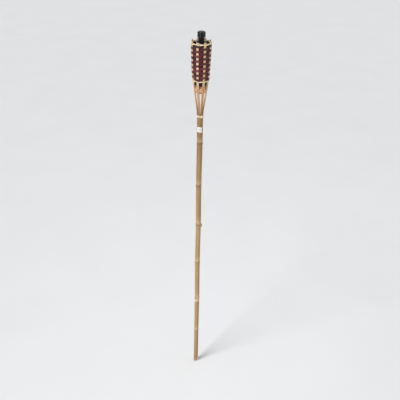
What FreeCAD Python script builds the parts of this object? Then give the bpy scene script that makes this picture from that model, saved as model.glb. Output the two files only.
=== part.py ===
import FreeCAD, Part
import math
import os
from FreeCAD import Vector

# Bamboo garden torch, stood upright with its foot on z = 0 and its axis on Z.
# The culm's top end is split into eight strips that are spread by a plug and
# woven into a basket, and the basket holds a tin fuel can with a screwed wick holder.

# ---- driving dimensions, millimetres ----
torch_height = 1500.0
running_fit = 0.05
weave_gap = 0.08

culm_foot_radius = 9.3
culm_top_radius = 11.0
culm_wall = 2.4
first_internode = 185.0
internodes = [186.0, 188.0, 184.0, 177.0, 176.0]
node_ridge = 0.8
node_half_height = 3.0
foot_cut_rise = 24.0
diaphragm = 4.0

stub_node = 3
stub_bearing = 335.0
stub_radius = 5.4
stub_end_radius = 2.4
stub_rise = 6.0
stub_belly_drop = 4.0
stub_drop = 24.0
scar_node = 1
scar_radius = 6.4
scar_hole_radius = 2.8
scar_hole_depth = 6.0
scar_reach = 2.2
scar_bearing = 250.0
scar_lift = 24.0
scar_above_node = 2.0
knuckle_radius = 5.0
knuckle_end_radius = 1.6
knuckle_bearing = 260.0
knuckle_sunk = 1.5
knuckle_drop = 17.0

strip_count = 8
strip_width = 8.5
strip_thickness = 2.2
strip_kerf = 0.3
# Outer face of the spread strips: (height above the split, radius).
flare = [(0.0, culm_top_radius), (35.0, 15.0), (68.0, 20.0), (102.0, 24.7),
         (134.0, 28.7), (176.0, 31.5), (220.0, 33.2), (271.0, 35.0)]
tips_below_top = 29.0

plug_height = 32.0
plug_round = 13.0
plug_fit = 0.15

ring_strand = 2.0
ring_twist = 1.15
lower_ring_height = 134.0
upper_ring_below_tips = 8.0
weft_rows = 15
weft_thickness = 1.2
weft_row_gap = 0.5

tie_height = 9.0
tie_thickness = 1.9

label_size = 20.0
label_thickness = 0.15
label_glue = 0.05
label_below_split = 50.0
label_bearing = 262.0
label_tilt = 8.0

snuffer_height = 17.0
snuffer_radius = 14.2
snuffer_wall = 0.8
snuffer_corner = 2.5

collar_height = 13.0
collar_radius = 10.6
collar_wall = 0.85
flange_thickness = 1.0
gasket_thickness = 1.5
neck_length = 12.0
neck_wall = 0.6
shoulder_rise = 18.5
seat_width = 1.6

tin = 0.6
seam_height = 2.4
can_wall_height = 133.0
can_clearance = 0.6

tube_radius = 5.3
tube_wall = 0.65
tube_above_collar = 7.0
tube_below_plate = 9.0
wick_above_tube = 3.0
wick_length = 123.0

# ---- heights that follow ----
collar_top = torch_height - snuffer_height
collar_bottom = collar_top - collar_height
neck_base = collar_bottom - gasket_thickness
can_rim = neck_base - shoulder_rise
can_bottom = can_rim - can_wall_height
tips = torch_height - tips_below_top
split = tips - flare[-1][0]
lower_ring = split + lower_ring_height
upper_ring = tips - upper_ring_below_tips
ring_half_height = ring_strand / 2 + ring_twist
weft_pitch = (upper_ring - lower_ring - 2 * ring_half_height) / weft_rows
weft_height = weft_pitch - weft_row_gap
weave_waves = strip_count / 2

neck_radius = collar_radius - collar_wall - running_fit
wick_radius = tube_radius - tube_wall - running_fit


def point(radius, height):
    return Vector(radius, 0, height)


def lathe(start, *steps):
    """Solid turned about Z. A step is the next corner, or (a point on the arc, its end)."""
    edges = []
    here = start
    for step in steps + (start,):
        if isinstance(step, tuple):
            edges.append(Part.Arc(here, step[0], step[1]).toShape())
            here = step[1]
        else:
            edges.append(Part.LineSegment(here, step).toShape())
            here = step
    face = Part.Face(Part.Wire(edges))
    return face.revolve(Vector(0, 0, 0), Vector(0, 0, 1), 360)


def cylinder(radius, low, high):
    return Part.makeCylinder(radius, high - low, Vector(0, 0, low))


def turned(shape, degrees):
    copy = shape.copy()
    copy.rotate(Vector(0, 0, 0), Vector(0, 0, 1), degrees)
    return copy


# ---- the flared face of the strips ----
def flare_curve(stations):
    curve = Part.BSplineCurve()
    heights = [split + rise for rise, radius in stations]
    points = [point(radius, split + rise) for rise, radius in stations]
    curve.interpolate(Points=points, Parameters=heights)
    return curve


outer_flare = flare_curve(flare)


def flare_point(height, depth):
    """Point at the given depth under the strips' outer face, square to it."""
    slope = outer_flare.tangent(height)[0]
    inward = Vector(-slope.z, 0, slope.x)
    return outer_flare.value(height) + inward * depth


def strip_middle(height):
    return flare_point(height, strip_thickness / 2).x


def wave_height(height, half_thickness):
    """How far a woven piece swings about the strips' middle to clear their edges."""
    half_angle = math.asin(strip_width / 2 / (strip_middle(height) - strip_thickness / 2))
    swing = strip_thickness / 2 + half_thickness + weave_gap
    return swing / math.cos(weave_waves * half_angle)


# ---- bamboo pole ----
def culm_radius(height):
    share = (height - first_internode) / (split - first_internode)
    return culm_foot_radius + (culm_top_radius - culm_foot_radius) * max(0.0, share)


def culm_nodes():
    heights = [first_internode]
    step = 0
    while True:
        length = internodes[min(step, len(internodes) - 1)]
        if heights[-1] + length > split - label_below_split - label_size:
            return heights
        heights.append(heights[-1] + length)
        step += 1


def culm_blank():
    steps = [point(culm_foot_radius, 0)]
    for height in culm_nodes():
        low = height - node_half_height
        high = height + node_half_height
        steps.append(point(culm_radius(low), low))
        steps.append((point(culm_radius(height) + node_ridge, height), point(culm_radius(high), high)))
    steps.append(point(culm_top_radius, split))
    steps.append(point(0, split))
    return lathe(point(0, 0), *steps)


def outward(bearing, lift=0.0):
    """Unit vector pointing away from the axis at a bearing, raised above the level."""
    level = math.cos(math.radians(lift))
    across = math.radians(bearing)
    return Vector(level * math.cos(across), level * math.sin(across), math.sin(math.radians(lift)))


def pole():
    nodes = culm_nodes()
    body = culm_blank()
    stub_z = nodes[min(stub_node, len(nodes) - 1)]
    belly = outward(stub_bearing) * culm_radius(stub_z) + Vector(0, 0, stub_z - stub_belly_drop)
    above, below = stub_rise + stub_belly_drop, stub_drop - stub_belly_drop
    stub_top = Part.makeCone(stub_radius, stub_end_radius, above, belly, Vector(0, 0, 1))
    stub_end = Part.makeCone(stub_radius, stub_end_radius, below, belly, Vector(0, 0, -1))
    scar_z = nodes[min(scar_node, len(nodes) - 1)]
    scar_axis = outward(scar_bearing, scar_lift)
    face_distance = culm_radius(scar_z) + scar_reach
    scar_length = face_distance / math.cos(math.radians(scar_lift))
    scar_start = Vector(0, 0, scar_z + scar_above_node - face_distance * math.tan(math.radians(scar_lift)))
    scar = Part.makeCylinder(scar_radius, scar_length, scar_start, scar_axis)
    knuckle_place = outward(knuckle_bearing) * (culm_radius(scar_z) - knuckle_sunk) + Vector(0, 0, scar_z - 2)
    knuckle = Part.makeCone(knuckle_radius, knuckle_end_radius, knuckle_drop - 2, knuckle_place, Vector(0, 0, -1))
    body = body.fuse([stub_top, stub_end, scar, knuckle]).removeSplitter()
    hole_start = scar_start + scar_axis * (scar_length - scar_hole_depth)
    hole = Part.makeCylinder(scar_hole_radius, scar_hole_depth + 1, hole_start, scar_axis)
    top_hollow = cylinder(culm_top_radius - culm_wall, nodes[-1] + diaphragm, split + 1)
    foot_hollow = cylinder(culm_foot_radius - culm_wall, -1, first_internode - diaphragm)
    return body.cut([hole, top_hollow, foot_hollow, foot_cut()])


def foot_cut():
    """Wedge taken off the foot: it leaves a slanted point on the -X side."""
    far = 2 * culm_foot_radius
    slope = foot_cut_rise / (2 * culm_foot_radius)
    low = Vector(-culm_foot_radius, -far, 0)
    high = Vector(far, -far, slope * (far + culm_foot_radius))
    corner = Vector(far, -far, -1)
    start = Vector(-culm_foot_radius, -far, -1)
    face = Part.Face(Part.makePolygon([low, high, corner, start, low]))
    return face.extrude(Vector(0, 2 * far, 0))


# ---- basket ----
def strip_plan():
    """Plan outline of one strip: parallel sides, narrowed to its share of the culm near the axis."""
    half_share = math.pi / strip_count
    apex = strip_kerf / 2 / math.sin(half_share)
    shoulder = apex + strip_width / 2 / math.tan(half_share)
    far = 2 * flare[-1][1]
    half = strip_width / 2
    corners = [Vector(apex, 0, split), Vector(shoulder, half, split), Vector(far, half, split),
               Vector(far, -half, split), Vector(shoulder, -half, split)]
    face = Part.Face(Part.makePolygon(corners + corners[:1]))
    return face.extrude(Vector(0, 0, tips - split))


def strip():
    """One split strip of the culm's wall, on the +X side."""
    stations = [split + rise for rise, radius in flare]
    inner = Part.BSplineCurve()
    inner_points = [flare_point(height, strip_thickness) for height in stations]
    inner_points[0] = point(culm_top_radius - strip_thickness, split)
    inner_points[-1] = point(inner_points[-1].x, tips)
    inner.interpolate(inner_points)
    ends = [Part.LineSegment(inner_points[0], outer_flare.value(split)).toShape(),
            Part.LineSegment(outer_flare.value(tips), inner_points[-1]).toShape()]
    wire = Part.Wire([outer_flare.toShape(), ends[1], inner.toShape(), ends[0]])
    sector = 360.0 / strip_count
    shell = Part.Face(wire).revolve(Vector(0, 0, 0), Vector(0, 0, 1), sector)
    return turned(shell, -sector / 2).common(strip_plan())


def strip_bearing(index):
    return (index + 0.5) * 360.0 / strip_count


def ring_curve(radius_at, height_at):
    """Closed curve round the axis, given by its radius and height at each angle."""
    samples = strip_count * 6
    points = []
    for sample in range(samples):
        angle = 2 * math.pi * sample / samples
        radius = radius_at(angle)
        points.append(Vector(radius * math.cos(angle), radius * math.sin(angle), height_at(angle)))
    curve = Part.BSplineCurve()
    curve.interpolate(Points=points, PeriodicFlag=True)
    return curve.toShape()


def closed_band(corners):
    """Solid ring whose cross-section has the four given closed curves as corners."""
    faces = []
    for index, corner in enumerate(corners):
        faces.append(Part.makeRuledSurface(corner, corners[(index + 1) % len(corners)]))
    shell = Part.Shell(sum([face.Faces for face in faces], []))
    solid = Part.makeSolid(shell)
    if solid.Volume < 0:
        solid.reverse()
    return solid


def weft(row):
    """One row of flat splint, in front of every other strip and behind the rest."""
    middle = lower_ring + ring_half_height + weft_pitch * (row + 0.5)
    side = 1 if row % 2 else -1
    swing = side * wave_height(middle - weft_height / 2, weft_thickness / 2)
    corners = []
    for face, edge in [(-1, -1), (1, -1), (1, 1), (-1, 1)]:
        height = middle + edge * weft_height / 2
        base = strip_middle(height) + face * weft_thickness / 2
        wave = lambda angle: base + swing * math.sin(weave_waves * angle)
        level = lambda angle: height
        corners.append(ring_curve(wave, level))
    return closed_band(corners)


def ring_strand_band(middle, side):
    """One of the two canes twined round the strips at the given height."""
    half = ring_strand / 2
    swing = side * wave_height(middle - ring_half_height, half)
    corners = []
    for face, edge in [(-1, -1), (1, -1), (1, 1), (-1, 1)]:
        twist = lambda angle: middle + edge * half + side * ring_twist * math.cos(weave_waves * angle)
        wave = lambda angle: (strip_middle(twist(angle)) + face * half
                              + swing * math.sin(weave_waves * angle))
        corners.append(ring_curve(wave, twist))
    return closed_band(corners)


def spreader_plug():
    """Turned plug that holds the strips apart and carries the can."""
    low = can_bottom - plug_height
    middle = can_bottom - plug_height / 2
    lean = outer_flare.tangent(middle)[0]
    belly_radius = (plug_height ** 2 / 4 + plug_round ** 2) / (2 * plug_round)
    lean_room = (lean.x / lean.z) ** 2 * belly_radius / 2
    wide = flare_point(middle, strip_thickness).x - lean_room - plug_fit
    flat = wide - plug_round
    return lathe(point(0, low), point(flat, low), (point(wide, middle), point(flat, can_bottom)),
                 point(0, can_bottom))


def neck_tie():
    """Cane wrapped twice round the split, with a rounded ridge for each turn."""
    low = split - tie_height / 2
    high = split + tie_height / 2
    inner = culm_top_radius + weave_gap
    inner_high = outer_flare.value(high).x + weave_gap
    crest = tie_thickness + inner
    groove = crest - tie_thickness * 0.3
    return lathe(point(inner, low), point(inner + 0.6, low),
                 (point(crest, low + tie_height / 4), point(groove, split)),
                 (point(crest + 0.5, high - tie_height / 4), point(inner_high + 0.6, high)),
                 point(inner_high, high), point(inner, split))


def label():
    """Paper sticker wrapped round the culm under the tie."""
    middle = split - label_below_split
    low = middle - label_size
    high = middle + label_size
    under = label_glue
    over = label_glue + label_thickness
    outer = Part.makeCone(culm_radius(low) + over, culm_radius(high) + over, high - low, Vector(0, 0, low))
    inner = Part.makeCone(culm_radius(low) + under, culm_radius(high) + under, high - low, Vector(0, 0, low))
    window = Part.makeBox(2 * culm_top_radius, label_size, label_size,
                          Vector(0, -label_size / 2, -label_size / 2))
    window.rotate(Vector(0, 0, 0), Vector(1, 0, 0), label_tilt)
    window.translate(Vector(0, 0, middle))
    return outer.cut(inner).common(turned(window, label_bearing))


# ---- fuel can ----
def can_radius(height):
    """Tapered wall that clears the canes and the weave while the can is lifted out."""
    ring_room = strip_middle(lower_ring) - wave_height(lower_ring, ring_strand / 2) - ring_strand / 2
    rim_room = strip_middle(can_rim) - wave_height(can_rim, weft_thickness / 2) - weft_thickness / 2
    low = ring_room - can_clearance
    high = rim_room - can_clearance - tin
    share = (height - lower_ring) / (can_rim - lower_ring)
    return low + (high - low) * share


def can_body():
    low = can_bottom + tin
    return lathe(point(can_radius(low) - tin, low), point(can_radius(low), low),
                 point(can_radius(can_rim), can_rim), point(can_radius(can_rim) - tin, can_rim))


def can_base():
    """Flat bottom whose edge is folded up over the wall."""
    wall_low = can_radius(can_bottom + tin)
    wall_high = can_radius(can_bottom + seam_height)
    return lathe(point(0, can_bottom), point(wall_low + tin, can_bottom),
                 point(wall_high + tin, can_bottom + seam_height), point(wall_high, can_bottom + seam_height),
                 point(wall_low, can_bottom + tin), point(0, can_bottom + tin))


def can_lid():
    """Domed lid folded over the wall's top, with the neck that the wick holder screws on."""
    wall_top = can_radius(can_rim)
    wall_low = can_radius(can_rim - seam_height)
    seat = neck_radius + seat_width
    dome = point((wall_top + seat) / 2 + 2.5, can_rim + shoulder_rise * 0.62)
    dome_inner = dome + Vector(-tin * 0.7, 0, -tin * 0.9)
    return lathe(point(wall_low, can_rim - seam_height), point(wall_low + tin, can_rim - seam_height),
                 point(wall_top + tin, can_rim + tin), (dome, point(seat, neck_base)),
                 point(neck_radius, neck_base), point(neck_radius, neck_base + neck_length),
                 point(neck_radius - neck_wall, neck_base + neck_length),
                 point(neck_radius - neck_wall, neck_base - tin), point(seat - tin, neck_base - tin),
                 (dome_inner, point(wall_top - tin, can_rim)), point(wall_top, can_rim))


def gasket():
    outer = collar_radius
    return cylinder(outer, neck_base, collar_bottom).cut(
        cylinder(neck_radius + running_fit, neck_base, collar_bottom))


def collar():
    """Screwed skirt with a flange on top, holed for the wick tube."""
    plate_low = collar_top - flange_thickness
    inside = collar_radius - collar_wall
    return lathe(point(inside, collar_bottom), point(collar_radius, collar_bottom),
                 point(collar_radius, plate_low), point(snuffer_radius, plate_low),
                 point(snuffer_radius, collar_top), point(tube_radius, collar_top),
                 point(tube_radius, plate_low), point(inside, plate_low))


def wick_tube():
    low = collar_top - tube_below_plate
    high = collar_top + tube_above_collar
    return cylinder(tube_radius, low, high).cut(cylinder(tube_radius - tube_wall, low, high))


def wick():
    tip = collar_top + tube_above_collar + wick_above_tube
    rounded = 1.0
    corner = rounded * (1 - math.sqrt(0.5))
    return lathe(point(0, tip - wick_length), point(wick_radius, tip - wick_length),
                 point(wick_radius, tip - rounded),
                 (point(wick_radius - corner, tip - corner), point(wick_radius - rounded, tip)),
                 point(0, tip))


def snuffer():
    """Upturned cup that stands on the flange over the wick tube."""
    top = torch_height
    inside = snuffer_radius - snuffer_wall
    inner_corner = snuffer_corner - snuffer_wall
    outer_arc = point(snuffer_radius - snuffer_corner * (1 - math.sqrt(0.5)),
                      top - snuffer_corner * (1 - math.sqrt(0.5)))
    inner_arc = outer_arc - Vector(snuffer_wall, 0, snuffer_wall) * math.sqrt(0.5)
    return lathe(point(inside, collar_top), point(snuffer_radius, collar_top),
                 point(snuffer_radius, top - snuffer_corner), (outer_arc, point(snuffer_radius - snuffer_corner, top)),
                 point(0, top), point(0, top - snuffer_wall), point(inside - inner_corner, top - snuffer_wall),
                 (inner_arc, point(inside, top - snuffer_corner)))


def sub_parts():
    parts = {
        "pole": pole(),
        "spreader_plug": spreader_plug(),
        "neck_tie": neck_tie(),
        "label": label(),
        "can_body": can_body(),
        "can_base": can_base(),
        "can_lid": can_lid(),
        "gasket": gasket(),
        "collar": collar(),
        "wick_tube": wick_tube(),
        "wick": wick(),
        "snuffer": snuffer(),
    }
    one_strip = strip()
    for index in range(strip_count):
        parts[f"strip_{index + 1}"] = turned(one_strip, strip_bearing(index))
    for row in range(weft_rows):
        parts[f"weft_{row + 1:02d}"] = weft(row)
    for name, height in [("lower_cane", lower_ring), ("upper_cane", upper_ring)]:
        parts[f"{name}_a"] = ring_strand_band(height, 1)
        parts[f"{name}_b"] = ring_strand_band(height, -1)
    return parts


os.makedirs("parts", exist_ok=True)
for name, shape in sub_parts().items():
    shape.exportStep(f"parts/{name}.step")
    box = shape.BoundBox
    print(f"{name:14s} solids {len(shape.Solids)} valid {shape.isValid()} volume {shape.Volume:10.1f} "
          f"z {box.ZMin:8.2f} {box.ZMax:8.2f} x {box.XMin:7.2f} {box.XMax:7.2f}")
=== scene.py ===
"""Looks of a bamboo garden torch: woven head, fuel can, wick holder and snuffer, round the CAD frame."""
from math import atan2, cos, exp, hypot, pi, radians, sin, sqrt, tan, tanh

import bmesh
import bpy
from mathutils import Matrix, Vector, noise


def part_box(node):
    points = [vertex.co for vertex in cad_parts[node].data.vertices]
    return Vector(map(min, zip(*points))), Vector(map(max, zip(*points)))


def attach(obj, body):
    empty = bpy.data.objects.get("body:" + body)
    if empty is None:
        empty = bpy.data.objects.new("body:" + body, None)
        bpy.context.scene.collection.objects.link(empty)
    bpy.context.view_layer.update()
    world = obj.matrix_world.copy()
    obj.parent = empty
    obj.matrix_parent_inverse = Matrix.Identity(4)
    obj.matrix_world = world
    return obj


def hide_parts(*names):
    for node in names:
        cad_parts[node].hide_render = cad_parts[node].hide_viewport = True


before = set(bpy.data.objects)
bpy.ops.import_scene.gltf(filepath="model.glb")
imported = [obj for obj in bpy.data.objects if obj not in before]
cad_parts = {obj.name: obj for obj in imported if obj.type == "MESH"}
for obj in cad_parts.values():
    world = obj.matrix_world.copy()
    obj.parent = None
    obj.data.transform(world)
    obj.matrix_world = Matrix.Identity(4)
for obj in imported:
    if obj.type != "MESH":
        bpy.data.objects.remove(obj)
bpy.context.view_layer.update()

MM = 0.001
TURN = 2 * pi
UP = Vector((0, 0, 1))
SHARP = radians(42)

# ---- places taken from the frame ----
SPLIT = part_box("pole")[1].z
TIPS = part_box("strip_1")[1].z
COLLAR_LOW, COLLAR_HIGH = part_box("collar")
TUBE_LOW, TUBE_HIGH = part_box("wick_tube")
WICK_LOW, WICK_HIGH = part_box("wick")
SNUFFER_LOW, SNUFFER_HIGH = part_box("snuffer")
GASKET_LOW, GASKET_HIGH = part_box("gasket")
PLUG_LOW, PLUG_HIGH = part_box("spreader_plug")
TIE_LOW, TIE_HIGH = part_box("neck_tie")
WALL_LOW, WALL_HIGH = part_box("can_body")
BASE_LOW, BASE_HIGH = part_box("can_base")
LID_LOW, LID_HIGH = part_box("can_lid")
LABEL_LOW, LABEL_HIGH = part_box("label")
LOWER_RING, UPPER_RING = (sum(end.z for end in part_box(f"{name}_cane_a")) / 2 for name in ("lower", "upper"))

# ---- the torch's own detail: lengths in metres, sides as angles in radians ----
CULM_FOOT = 9.3 * MM
CULM_TOP = 11.0 * MM
CULM_WALL = 2.4 * MM
NODES = [rise * MM for rise in (185, 371, 559, 743, 920, 1096)]
STUB_NODE = 3
STUB_SIDE = radians(335)
SCAR_NODE = 1
SCAR_SIDE = radians(250)
SCAR_GROOVE_SIDE = radians(258)
SCAR_LIFT = radians(24)
SCAR_REACH = 2.2 * MM
SCAR_ABOVE_NODE = 2 * MM
FOOT_RISE = 24 * MM
STRIPS = 8
STRIP_THICK = 2.2 * MM
STRIP_SAWN_SIDE = 4.02 * MM
STRIP_HALF_ANGLE = radians(21.9)
FLARE = [(rise * MM, radius * MM) for rise, radius in (
    (0, 11.0), (35, 15.0), (68, 20.0), (102, 24.7), (134, 28.7), (176, 31.5), (220, 33.2), (271, 35.0))]
WEFTS = 15
WEFT_THICK = 1.2 * MM
ROW_GAP = 0.35 * MM
WEAVE_GAP = 0.18 * MM
WEAVE_TIGHT = 1.15
HALF_STRIP_SQUARED = 26e-6
CANE = 1.05 * MM
CANE_TWIST = 1.15 * MM
CANE_BODY = 1.16 * MM
TIE_SIDE = radians(-98)
LABEL_SIZE = 20 * MM
LABEL_SIDE = radians(262)
TIN = 0.6 * MM
CAN_SEAM_SIDE = 2.2
NECK = 9.7 * MM
NECK_HOLE = 9.75 * MM
SKIRT = 10.6 * MM
SKIRT_RIBS = 48
THREAD_PITCH = 3 * MM
THREAD_DEPTH = 0.42 * MM
YARNS = 8
YARN_CLIMB = 340.0
YARN_DEPTH = 0.42 * MM
CAP_WALL = 0.8 * MM
CAP_SHOULDER = 2.5 * MM

# ---- studio: (name, place, aim, size, watts) of each soft box, then the sun, the sky and the camera ----
SOFT_BOXES = (
    ("tall_box", (-0.78, -1.05, 1.12), (0, 0, 1.3), (0.22, 1.1), 3.5),
    ("rim_box", (1.0, -0.25, 1.25), (0, 0, 1.35), (0.16, 1.0), 1.6),
    ("top_box", (0.5, 0.9, 2.4), (0, 0, 1.4), (0.6, 0.6), 3.0))
SUN_POWER = 2.15
SUN_WIDTH = radians(22)
SUN_COLOUR = (1.0, 0.985, 0.96)
SUN_WAY = (0.62, 0.50, -0.86)
SKY_COLOUR = (0.95, 0.97, 1.0, 1)
SKY_FALL = (0.0, 0.45, 0.86, 0.40)
FLOOR_SIZE = 150
LENS = 53.1
CAMERA_PLACE = (0.0055, -1.98, 2.0)
CAMERA_TILT = radians(30.12)
CAMERA_ROLL = radians(1.1)


# ---- shaping helpers ----
def piece(name, bm, material, body, slot, *stands_for):
    """Turns a bmesh into a finished object that rides on its body."""
    mesh = bpy.data.meshes.new(name)
    bm.to_mesh(mesh)
    bm.free()
    obj = in_scene(name, mesh)
    mesh.materials.append(material)
    mesh.shade_smooth()
    mesh.set_sharp_from_angle(angle=SHARP)
    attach(obj, body)
    if stands_for:
        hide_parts(*stands_for)
    return obj


def in_scene(name, data):
    obj = bpy.data.objects.new(name, data)
    bpy.context.scene.collection.objects.link(obj)
    return obj


def everything(bm):
    return bm.verts[:] + bm.edges[:] + bm.faces[:]


def new_verts(bm, before):
    """Vertices added to a bmesh since a set of its parts was taken."""
    return [vert for vert in bm.verts if vert not in before]


def verts_of(items):
    return [item for item in items if isinstance(item, bmesh.types.BMVert)]


def edges_of(items):
    return [item for item in items if isinstance(item, bmesh.types.BMEdge)]


def chain(bm, points, closed=False):
    """Vertices joined by edges: the outline that an operator sweeps."""
    verts = [bm.verts.new(point) for point in points]
    edges = [bm.edges.new(pair) for pair in zip(verts, verts[1:])]
    if closed:
        edges.append(bm.edges.new((verts[-1], verts[0])))
    return verts, edges


def turned(outline, steps=64, closed=False, bm=None, place=None):
    """Surface turned about Z from (radius, height) pairs, then put in its place."""
    bm = bm or bmesh.new()
    old = set(bm.verts)
    verts, edges = chain(bm, [Vector((radius, 0, height)) for radius, height in outline], closed)
    bmesh.ops.spin(bm, geom=verts + edges, cent=(0, 0, 0), axis=UP, angle=TURN, steps=steps, use_merge=True)
    bmesh.ops.remove_doubles(bm, verts=new_verts(bm, old), dist=1e-6)
    if place:
        bmesh.ops.transform(bm, matrix=place, verts=new_verts(bm, old))
    bmesh.ops.recalc_face_normals(bm, faces=bm.faces)
    return bm


def swept(section_at, stations, bm=None):
    """Closed section carried through its stations, with both ends filled."""
    bm = bm or bmesh.new()
    verts, edges = chain(bm, section_at(stations[0]), closed=True)
    start = edges
    for station in stations[1:]:
        made = bmesh.ops.extrude_edge_only(bm, edges=edges)["geom"]
        raised = set(verts_of(made))
        verts = [next(edge.other_vert(vert) for edge in vert.link_edges if edge.other_vert(vert) in raised)
                 for vert in verts]
        edges = [edge for edge in edges_of(made) if edge.verts[0] in raised and edge.verts[1] in raised]
        for vert, point in zip(verts, section_at(station)):
            vert.co = point
    bmesh.ops.contextual_create(bm, geom=start)
    bmesh.ops.contextual_create(bm, geom=edges)
    bmesh.ops.recalc_face_normals(bm, faces=bm.faces)
    return bm


def corner(centre_radius, centre_height, size, start, end, count=5):
    """Points of a rounded corner as (radius, height) pairs, from angle start to end in degrees."""
    turns = [radians(start + (end - start) * step / count) for step in range(count + 1)]
    return [(centre_radius + size * cos(turn), centre_height + size * sin(turn)) for turn in turns]


def near(radius, height, *steps):
    """Outline points, given as (outward, upward) millimetres from one place."""
    return [(radius + out * MM, height + up * MM) for out, up in steps]


def mirrored(points):
    """The upper half of a section from its lower half."""
    return [(out, -up) for out, up in points[::-1]]


def steps_between(low, high, spacing):
    """Evenly spaced values from low to high, about the given spacing apart."""
    count = max(1, round((high - low) / spacing))
    return [low + (high - low) * step / count for step in range(count + 1)]


def straight(radius, low, high, spacing):
    """Outline points straight up from low to high."""
    return [(radius, height) for height in steps_between(low, high, spacing)]


def bearing(co):
    """Angle of a point round the axis."""
    return atan2(co.y, co.x)


def reach(co):
    """Distance of a point from the axis."""
    return hypot(co.x, co.y)


def outward(side):
    """Unit vector that points out from the axis at a bearing."""
    return Vector((cos(side), sin(side), 0))


def turn_off(angle, side):
    """Angle from a side, between minus and plus half a turn."""
    return atan2(sin(angle - side), cos(angle - side))


def hump(value, width):
    """Smooth bump that is 1 at zero and has faded out by about twice its width."""
    return exp(-(value / width) ** 2)


def set_reach(vert, radius):
    scale = radius / max(reach(vert.co), 1e-9)
    vert.co.x *= scale
    vert.co.y *= scale


def wobble(place, scale, seed):
    """Smooth random number from about -1 to 1 at a place."""
    return noise.noise(Vector(place) * scale + Vector((7.31, 3.17, 1.73)) * seed)


def round_wobble(angle, coarse, seed):
    """Smooth random number that closes on itself round the axis."""
    return wobble((cos(angle), sin(angle), 0), coarse, seed)


def ease(value, low, high):
    """Smooth step from 0 at low to 1 at high."""
    share = min(max((value - low) / (high - low), 0.0), 1.0)
    return share * share * (3 - 2 * share)


def between(value, low, high, rise, fall):
    """Rises from 0 to 1 after low, and falls back to 0 before high."""
    return ease(value, low, low + rise) * (1 - ease(value, high - fall, high))


def mark(obj, name, value_at):
    """Stores a number on each vertex for the material to read."""
    attribute = obj.data.attributes.new(name, "FLOAT", "POINT")
    attribute.data.foreach_set("value", [value_at(vert.co) for vert in obj.data.vertices])


def worn_rim(obj, strength, radius, width):
    """Marks the outermost rim of a turned piece as rubbed."""
    mark(obj, "edge", lambda co: strength * ease(reach(co), radius - width, radius))


def wrap_uv(obj, radius, seam):
    """UV map in metres: length round the axis, and height. The seam lies at the given bearing."""
    layer = obj.data.uv_layers.new(name="wrap")
    for polygon in obj.data.polygons:
        middle = (bearing(polygon.center) - seam) % TURN
        for loop in polygon.loop_indices:
            co = obj.data.vertices[obj.data.loops[loop].vertex_index].co
            turn = (bearing(co) - seam) % TURN
            turn += TURN * round((middle - turn) / TURN)
            layer.data[loop].uv = (turn * radius, co.z)


def culm_radius(height):
    share = max(0.0, (height - NODES[0]) / (SPLIT - NODES[0]))
    return CULM_FOOT + (CULM_TOP - CULM_FOOT) * share


def flare_radius(height):
    """Radius of the strips' outer face, on a smooth curve through its stations."""
    rise = min(max(height - SPLIT, FLARE[0][0]), FLARE[-1][0])
    span = max(index for index in range(len(FLARE) - 1) if FLARE[index][0] <= rise)
    (z0, r0), (z1, r1) = FLARE[span], FLARE[span + 1]
    before = FLARE[max(span - 1, 0)]
    after = FLARE[min(span + 2, len(FLARE) - 1)]
    share = (rise - z0) / (z1 - z0)
    enter = (r1 - before[1]) / (z1 - before[0]) * (z1 - z0)
    leave = (after[1] - r0) / (after[0] - z0) * (z1 - z0)
    squared, cubed = share ** 2, share ** 3
    return ((2 * cubed - 3 * squared + 1) * r0 + (cubed - 2 * squared + share) * enter
            + (3 * squared - 2 * cubed) * r1 + (cubed - squared) * leave)


def strip_middle(height):
    return flare_radius(height) - STRIP_THICK / 2


def strip_bearing(index):
    return (index + 0.5) * TURN / STRIPS


# ---- finishes ----
def rgb(red, green, blue):
    """Linear colour from the 0 to 255 values of a paint chart."""
    def linear(value):
        value /= 255
        return value / 12.92 if value <= 0.04045 else ((value + 0.055) / 1.055) ** 2.4
    return (linear(red), linear(green), linear(blue), 1.0)


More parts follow.
